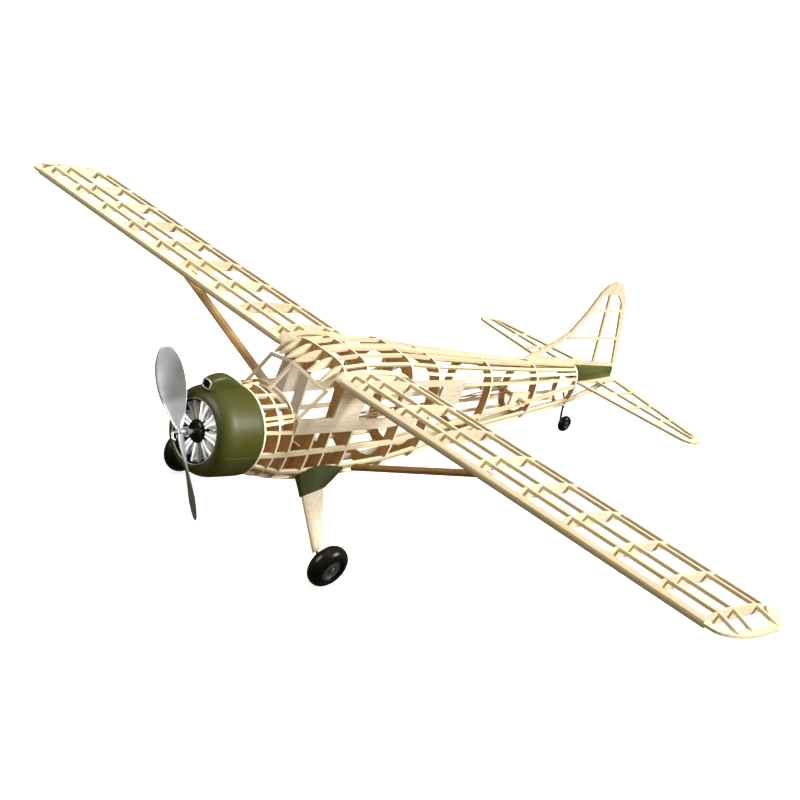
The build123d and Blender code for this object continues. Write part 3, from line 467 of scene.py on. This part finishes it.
def engine():
    """Nine finned cylinders, each with a pair of push rods and rocker boxes in front."""
    form = Form()
    profile = barrel_profile()
    box = [(0.95, 0.0), (0.7, 0.75), (-0.7, 0.75), (-0.95, 0.0), (-0.7, -0.75), (0.7, -0.75)]
    levels = ((HEAD_R - 2.4, 0.6), (HEAD_R - 2.0, 1.0), (HEAD_R - 0.6, 1.0), (HEAD_R - 0.1, 0.55))
    for i in range(CYLINDERS):
        def place(x, y, z, turn=math.tau * i / CYLINDERS):
            return (x * math.cos(turn) + z * math.sin(turn), y, z * math.cos(turn) - x * math.sin(turn))

        rows = [[place(r * math.cos(a), BARREL_Y + r * math.sin(a), z) for r, z in profile]
                for a in (math.tau * k / 26 for k in range(26))]
        form.grid(rows, around=False, rings=True)
        for lean in (-1, 1):
            path = [(1.0 * lean, 3.2, CASE_R - 0.3), (1.05 * lean, 2.7, 8.6), (1.35 * lean, 2.45, 11.6),
                    (2.0 * lean, 2.4, 14.6), (2.75 * lean, 2.6, HEAD_R - 0.9)]
            form.tube([place(*p) for p in path], 0.86, sides=12)
            rows = []
            for z, scale in levels:
                rows.append([place(2.5 * lean + x * scale, 2.8 + y * scale * 1.3, z) for x, y in box])
            form.grid(rows, caps=True)
        pipe = [(0, 8.6, CASE_R - 0.5), (0, 8.7, HEAD_R + 2.5)]
        half = math.pi / CYLINDERS
        form.tube([(x * math.cos(half) + z * math.sin(half), y, z * math.cos(half) - x * math.sin(half))
                   for x, y, z in (place(*p) for p in pipe)], 0.8, sides=8)
    form.piece("engine_cylinders", SILVER, "dummy_engine", 30.0)


SCOOP_X = -3.8


def scoop():
    """Air scoop: a rounded box with a bright rim in front, sinking into the cowl behind."""
    def arch(y, half, low, high, shrink=0.0, count=28):
        ring = []
        middle, tall = (low + high) / 2, (high - low) / 2
        for k in range(count):
            a = math.tau * k / count
            c, s = math.cos(a), math.sin(a)
            x = (half - shrink) * math.copysign(abs(c) ** 0.5, c)
            z = middle + (tall - shrink) * math.copysign(abs(s) ** 0.5, s)
            ring.append((SCOOP_X + x, y, z))
        return ring

    stations = [(2.6, 3.5, 23.4, 30.5), (3.4, 3.7, 23.2, 31.0), (6.0, 3.8, 23.0, 32.2),
                (10.0, 3.9, 22.6, 33.1), (14.0, 3.8, 22.4, 33.1), (18.0, 3.5, 22.2, 32.0),
                (22.0, 3.0, 21.8, 30.2), (26.5, 2.1, 21.4, 27.6)]
    rows = []
    for i in range(4 * (len(stations) - 1) + 1):
        rows.append(arch(*spline(stations, i / 4)))
    inner = [arch(8.0, 3.6, 24.4, 32.4, 0.8), arch(2.6, 3.5, 23.4, 30.5, 0.8)]
    form = Form()
    form.grid(inner + rows, caps=True)
    form.piece("scoop_body", OLIVE, "intake_scoop", 50.0)
    rim = Form()
    outer = arch(0.0, 3.1, 25.0, 30.0)
    centre = Vector((SCOOP_X, 0, 27.5))
    front, bead = 2.3, 0.5
    rows = []
    for p in outer:
        away = (Vector(p) - centre).normalized()
        row = []
        for k in range(10):
            a = math.tau * k / 10
            out = bead * math.cos(a)
            row.append((p[0] + away.x * out, front + bead * math.sin(a), p[2] + away.z * out))
        rows.append(row)
    rim.grid(rows, rings=True)
    rim.piece("scoop_rim", CHROME, "intake_scoop")
    hollow = Form()
    hollow.grid([arch(2.5, 2.9, 25.2, 29.8), arch(7.5, 3.4, 24.0, 31.6)], caps=True)
    hollow.piece("scoop_shadow", BLACK, "intake_scoop")


PROP_LEAN = math.radians(40.5)
HUB_Y, BLADE_Y = (-12.2, -7.0), -10.0
# distance from the hub's axis, chord, thickness and pitch in degrees
BLADE = [(0.9, 4.0, 3.6, 62), (2.6, 5.2, 3.5, 61), (5.0, 7.0, 3.1, 57), (9.0, 9.2, 2.5, 52),
         (14.0, 12.0, 2.1, 45), (19.0, 14.6, 1.9, 41), (24.0, 16.4, 1.7, 37), (29.0, 17.1, 1.55, 34),
         (34.0, 17.0, 1.4, 31), (38.5, 15.8, 1.25, 29), (42.5, 13.4, 1.1, 28), (46.0, 9.8, 0.95, 27),
         (48.2, 6.2, 0.8, 26), (49.3, 2.6, 0.55, 25)]


def propeller():
    """Two thin cambered blades that flow into a small turned hub."""
    form = Form()
    count = 36
    for half_turn in (0.0, math.pi):
        lean = half_turn - PROP_LEAN
        rows = []
        for i in range(5 * (len(BLADE) - 1) + 1):
            out, chord, thick, pitch = spline(BLADE, i / 5)
            p = math.radians(pitch)
            row = []
            for k in range(count):
                a = math.tau * k / count
                u = math.cos(a) * chord / 2
                v = math.sin(a) * thick / 2 * (1.0 - 0.25 * math.cos(a))
                x, y = u * math.cos(p) - v * math.sin(p), u * math.sin(p) + v * math.cos(p)
                row.append((x * math.cos(lean) + out * math.sin(lean), BLADE_Y + y,
                            out * math.cos(lean) - x * math.sin(lean)))
            rows.append(row)
        form.grid(rows, caps=True)
    front, back = HUB_Y
    hub = [(0.8, front), (1.5, front), (1.9, front + 0.3), (2.4, front + 1.0), (2.6, front + 1.8),
           (2.6, back - 0.3), (2.3, back), (0.8, back)]
    form.turned(hub, about_thrust, 64)
    form.piece("propeller_blades", GREY, "propeller", 40.0)


def wheel(name, joint, radius, half, rim):
    """A round tyre and a flush ringed hub, about the joint's own axis."""
    centre = level((Vector(JOINTS[joint]["pos_m"]) - NOSE) / MM)
    axis = level(Vector(JOINTS[joint]["axis"])).normalized()
    if centre.x < 0:
        axis.negate()
    ahead = Vector((0, 1, 0))
    above = axis.cross(ahead)

    def place(r, h, a):
        return tuple(centre + axis * h + ahead * r * math.cos(a) + above * r * math.sin(a))

    tyre = []
    for k in range(33):
        t = math.radians(-96 + 192 * k / 32)
        tyre.append((radius - half + half * math.cos(t), half * math.sin(t)))
    tyre += [(rim, half * 0.72), (rim, -half * 0.72)]
    form = Form()
    form.turned(tyre, place, 120)
    form.piece("tyre_" + name + "_round", TYRE, "tail_tyre" if name == "tail" else "tyre_" + name, 60.0)
    bore, web, end = 0.85, half * 0.70, half * 0.90
    boss = bore + 0.18 * rim
    face = [(rim, web), (rim * 0.94, web + 0.02 * rim), (rim * 0.90, web - 0.01 * rim),
            (rim * 0.68, web + 0.03 * rim), (rim * 0.66, web + 0.01 * rim),
            (boss + 0.10 * rim, web + 0.06 * rim), (boss + 0.06 * rim, web + 0.01 * rim),
            (boss, web + 0.01 * rim), (boss, end - 0.2), (boss - 0.15, end), (bore, end)]
    hub = face + [(r, -h) for r, h in reversed(face)]
    form = Form()
    form.turned(hub, place, 96)
    form.piece("hub_" + name + "_round", HUB, "tail_hub" if name == "tail" else "hub_" + name, 25.0)


def oval_ring(x, front, back, thick, count):
    """A streamlined loop across a leg, from (y, z) front and back, starting at the front."""
    fy, fz = front
    by, bz = back
    length = math.hypot(by - fy, bz - fz)
    uy, uz = (by - fy) / length, (bz - fz) / length
    ring = []
    for k in range(count):
        a = math.tau * k / count
        t = 0.5 - 0.5 * math.cos(a)
        s = math.copysign(abs(math.sin(a)) ** 0.75, math.sin(a)) * (1.0 - 0.45 * t)
        shift = s * thick / 2 * 1.15
        ring.append(Vector((x + shift * 0.7, fy + (by - fy) * t - uz * shift * 0.2,
                            fz + (bz - fz) * t + uy * shift * 0.7)))
    return ring


# (y, z) of the fairing's edge against the fuselage
AGAINST = [(68.2, -20.0), (68.4, -17.6), (74.6, -15.2), (82.5, -13.2), (93.0, -13.9), (103.4, -15.6),
           (104.4, -17.4), (95.0, -20.0), (84.0, -22.4), (75.0, -23.4), (68.8, -22.6)]


def fairings():
    """Smooth moulded blocks where the legs meet the fuselage."""
    form = Form()
    count = 44
    loop = AGAINST[-1:] + AGAINST + AGAINST[:2]
    top = []
    for k in range(count):
        y, z = spline(loop, 1 + len(AGAINST) * k / count)
        top.append(Vector((25.4 + 0.33 * (z + 13.0), y, z)))
    low = oval_ring(36.0, (62.4, -27.0), (80.6, -21.8), 4.8, count)
    for side in (1, -1):
        rows = []
        for i in range(9):
            u = i / 8
            swell = 0.5 * math.sin(math.pi * u)
            row = []
            for p, q in zip(top, low):
                point = p.lerp(q, u)
                row.append((side * (point.x + swell * 0.6), point.y, point.z - swell * 0.4))
            rows.append(row)
        form.grid(rows, caps=True)
    form.piece("fairing_blocks", OLIVE_DARK, "gear_fairings", 40.0)


HOOK, PEG = (0.0, 43.5, 0.0), (0.0, 270.0, 18.6)


def rubber():
    """Four slack strands of strip rubber between the hook and the rear peg."""
    form = Form()
    start, end = Vector(HOOK), Vector(PEG)
    strands = 4
    for i in range(strands):
        path = []
        for k in range(71):
            t = k / 70
            spread = 1.1 + 1.0 * math.cos(math.tau * t) ** 2
            a = math.tau * (i / strands + 1.75 * t) + 0.5
            sag = -2.2 * math.sin(math.pi * t)
            off = Vector((spread * 1.2 * math.cos(a), 0, spread * 0.8 * math.sin(a) + sag))
            path.append(start + (end - start) * t + off)
        form.tube(path, 0.95, sides=8, flat=0.45)
    made = form.piece("rubber_strands", RUBBER, "rubber_motor", 60.0)
    at(*HOOK)
    at(*PEG)
    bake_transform(made)


def shaft():
    """Bent wire: the catch in front of the hub, the straight shaft and the hook behind."""
    out = (math.sin(PROP_LEAN), -math.cos(PROP_LEAN))

    def beside(reach, y):
        return (out[0] * reach, y, out[1] * reach)

    catch = [beside(4.3, -14.5), beside(4.3, -15.3), beside(4.0, -15.7), beside(3.4, -15.8),
             beside(1.2, -15.8), beside(0.5, -15.6), beside(0.1, -15.2), (0.0, -14.4, 0.0)]
    straight = [(0.0, y, 0.0) for y in (0.0, 20.0, 35.0)]
    hook = [(1.2, 35.9, 0.0), (3.4, 37.7, 0.0), (4.4, 38.9, 0.0), (4.6, 40.0, 0.0), (4.6, 42.4, 0.0),
            (4.3, 43.2, 0.0), (3.6, 43.5, 0.0), (-3.6, 43.5, 0.0), (-4.3, 43.2, 0.0), (-4.6, 42.4, 0.0),
            (-4.6, 38.8, 0.0)]
    form = Form()
    form.tube(catch + straight + hook, 0.76, sides=14)
    form.piece("shaft_wire", STEEL, "prop_shaft", 50.0)


# ---- pieces copied from the frame ------------------------------------------------------------
def islands(bm):
    """Lists of faces, one for each separate solid."""
    seen = set()
    for face in bm.faces:
        if face.index in seen:
            continue
        found = []
        stack = [face]
        seen.add(face.index)
        while stack:
            here = stack.pop()
            found.append(here)
            for edge in here.edges:
                for other in edge.link_faces:
                    if other.index not in seen:
                        seen.add(other.index)
                        stack.append(other)
        yield found


def sheet_normal(faces):
    """The direction that most of a solid's area faces."""
    best = None
    for face in sorted(faces, key=lambda f: -f.calc_area())[:12]:
        area = sum(f.calc_area() for f in faces if abs(f.normal.dot(face.normal)) > 0.98)
        if best is None or area > best[0]:
            best = (area, face.normal.copy())
    total = sum(f.calc_area() for f in faces)
    return best[1], best[0] / total


def wooden(node, body):
    """A copy of a balsa node that knows its separate sticks and its cut edges."""
    source = frame["nodes"][node]
    bm = bmesh.new()
    bm.from_mesh(source.data)
    bmesh.ops.remove_doubles(bm, verts=bm.verts, dist=1e-6)
    bmesh.ops.dissolve_limit(bm, angle_limit=math.radians(0.5), verts=bm.verts, edges=bm.edges)
    bm.faces.ensure_lookup_table()
    bm.faces.index_update()
    dice = random.Random(node)
    tint = bm.faces.layers.float.new("tint")
    cut = bm.faces.layers.float.new("cut")
    shift = bm.faces.layers.float_vector.new("piece")
    for faces in islands(bm):
        normal, share = sheet_normal(faces)
        value = dice.random()
        offset = Vector([dice.uniform(-1, 1) for _ in range(3)])
        for face in faces:
            face[tint] = value
            face[shift] = offset
            across = abs(face.normal.dot(normal))
            face[cut] = 1.0 if share > 0.62 and across < 0.5 else 0.0
            face.smooth = False
    mesh = bpy.data.meshes.new(node + "_wood")
    bm.to_mesh(mesh)
    bm.free()
    piece = bpy.data.objects.new(node + "_wood", mesh)
    bpy.context.scene.collection.objects.link(piece)
    mesh.materials.append(BALSA[grain_of(node)] if node not in PAINT else PAINT[node])
    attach(piece, body)
    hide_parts(node)


WOODEN_SLOTS = ("balsa", "balsa_strut", "balsa_post", "hardwood")
REMADE = ("cowl", "cowl_lip", "dummy_engine", "intake_scoop", "propeller", "prop_shaft", "rubber_motor",
          "gear_fairings", "tyre_port", "tyre_starboard", "hub_port", "hub_starboard", "tail_tyre", "tail_hub")

for node, obj in frame["nodes"].items():
    if node in REMADE:
        continue
    if SLOT[node] in WOODEN_SLOTS:
        wooden(node, BODY[node])
    else:
        obj.data.materials.clear()
        obj.data.materials.append(PAINT[node])

cowl()
cowl_lip()
engine()
scoop()
propeller()
shaft()
fairings()
rubber()
MAIN_WHEEL, TAIL_WHEEL = (13.4, 5.4, 7.0), (5.9, 2.5, 3.0)      # radius, half width, hub radius
wheel("port", "wheel_spin_port", *MAIN_WHEEL)
wheel("starboard", "wheel_spin_starboard", *MAIN_WHEEL)
wheel("tail", "tail_wheel_spin", *TAIL_WHEEL)

# ---- floor, light and camera -----------------------------------------------------------------
scene = bpy.context.scene
FLOOR_Z = -0.0004       # metres, just under the tyres


def floor():
    """A wide pale floor that glows a little, so that it stays white."""
    mesh = bpy.data.meshes.new("floor")
    half = 14.0
    corners = [(-half, -half, 0), (half, -half, 0), (half, half, 0), (-half, half, 0)]
    mesh.from_pydata(corners, [], [(0, 1, 2, 3)])
    obj = bpy.data.objects.new("floor", mesh)
    scene.collection.objects.link(obj)
    obj.location.z = FLOOR_Z
    s = Shader("floor_white")
    grain = s.noise(s.grain_space(EVEN), scale=30.0, detail=2.0)
    tone = s.mix(s.span(grain, 0.3, 0.7), (0.90, 0.90, 0.90), (0.94, 0.94, 0.94))
    white = s.finish(Base_Color=tone, Roughness=0.9, Emission_Color=(1.0, 1.0, 1.0), Emission_Strength=0.80)
    mesh.materials.append(white)
    obj.visible_diffuse = False
    obj.visible_glossy = False


def light(name, kind, direction, energy, colour, size, distance=2.2, aim=(0.0, 0.0, 0.06)):
    """A light that shines on a point; size is a sun's angle, a spot's radius or a disk's width."""
    data = bpy.data.lights.new(name, kind)
    data.energy = energy
    data.color = colour
    if kind == "SUN":
        data.angle = size
    elif kind == "SPOT":
        data.shadow_soft_size = size
    else:
        data.shape = "DISK"
        data.size = size
    obj = bpy.data.objects.new(name, data)
    scene.collection.objects.link(obj)
    way = Vector(direction).normalized()
    obj.location = Vector(aim) + way * distance
    obj.rotation_mode = "QUATERNION"
    obj.rotation_quaternion = way.to_track_quat("Z", "Y")
    return obj


AZIMUTH, ELEVATION, ROLL = 39.5, 19.0, 19.5         # degrees, from the nose round to port
AIM, EYE_DISTANCE = (0, 120, 20), 0.9796            # millimetres and metres
LENS, SHIFT = 72.9675, (0.05875, -0.007875)


def camera():
    """The photograph's view: the eye, its turn and the lens, in the level frame."""
    azimuth, elevation, roll = (math.radians(v) for v in (AZIMUTH, ELEVATION, ROLL))
    back = toward(math.sin(azimuth) * math.cos(elevation), -math.cos(azimuth) * math.cos(elevation),
                  math.sin(elevation))
    right = toward(math.cos(azimuth), math.sin(azimuth), 0.0)
    up = back.cross(right)
    x_axis = right * math.cos(roll) + up * math.sin(roll)
    y_axis = up * math.cos(roll) - right * math.sin(roll)
    data = bpy.data.cameras.new("camera")
    data.sensor_width = 36.0
    data.lens = LENS
    data.shift_x, data.shift_y = SHIFT
    data.clip_start, data.clip_end = 0.05, 60.0
    obj = bpy.data.objects.new("camera", data)
    scene.collection.objects.link(obj)
    eye = at(*AIM) + back * EYE_DISTANCE
    turn = Matrix((x_axis, y_axis, back)).transposed().to_4x4()
    obj.matrix_world = Matrix.Translation(eye) @ turn
    scene.camera = obj


floor()
camera()
light("key", "SUN", toward(0.65, 0.40, 0.58), 4.2, (1.0, 0.985, 0.945), math.radians(20))
light("overhead", "SUN", toward(0.10, 0.10, 1.0), 0.7, (1.0, 1.0, 1.0), math.radians(70))
sheen = light("sheen", "AREA", toward(-0.35, -1.0, 0.55), 11.0, (1.0, 1.0, 1.0), 0.7, distance=1.3)
sheen.visible_diffuse = False
front_distance = 1.0
front = light("front", "SPOT", toward(0.0, -1.0, 0.0), 46.0, (0.96, 0.98, 1.0), 0.003,
              distance=front_distance, aim=at(0, 0, 0))
front.data.spot_size = 2 * math.atan2((MOUTH_R - 0.6) * MM, front_distance)
front.data.spot_blend = 0.05


def studio():
    """Warm light that weakens below, behind a plain white backdrop."""
    world = bpy.data.worlds.new("studio")
    scene.world = world
    world.use_nodes = True
    tree = world.node_tree
    room = tree.nodes["Background"]
    room.inputs["Color"].default_value = (1.0, 0.85, 0.60, 1.0)
    place = tree.nodes.new("ShaderNodeTexCoord")
    height = tree.nodes.new("ShaderNodeSeparateXYZ")
    ramp = tree.nodes.new("ShaderNodeMapRange")
    for socket, number in (("From Min", -0.6), ("From Max", 0.7), ("To Min", 0.08), ("To Max", 0.44)):
        ramp.inputs[socket].default_value = number
    tree.links.new(place.outputs["Generated"], height.inputs[0])
    tree.links.new(height.outputs["Z"], ramp.inputs["Value"])
    tree.links.new(ramp.outputs["Result"], room.inputs["Strength"])
    backdrop = tree.nodes.new("ShaderNodeBackground")
    backdrop.inputs["Color"].default_value = (1.0, 1.0, 1.0, 1.0)
    path = tree.nodes.new("ShaderNodeLightPath")
    both = tree.nodes.new("ShaderNodeMixShader")
    tree.links.new(path.outputs["Is Camera Ray"], both.inputs[0])
    tree.links.new(room.outputs[0], both.inputs[1])
    tree.links.new(backdrop.outputs[0], both.inputs[2])
    tree.links.new(both.outputs[0], tree.nodes["World Output"].inputs["Surface"])


studio()
scene.view_settings.view_transform = "Standard"
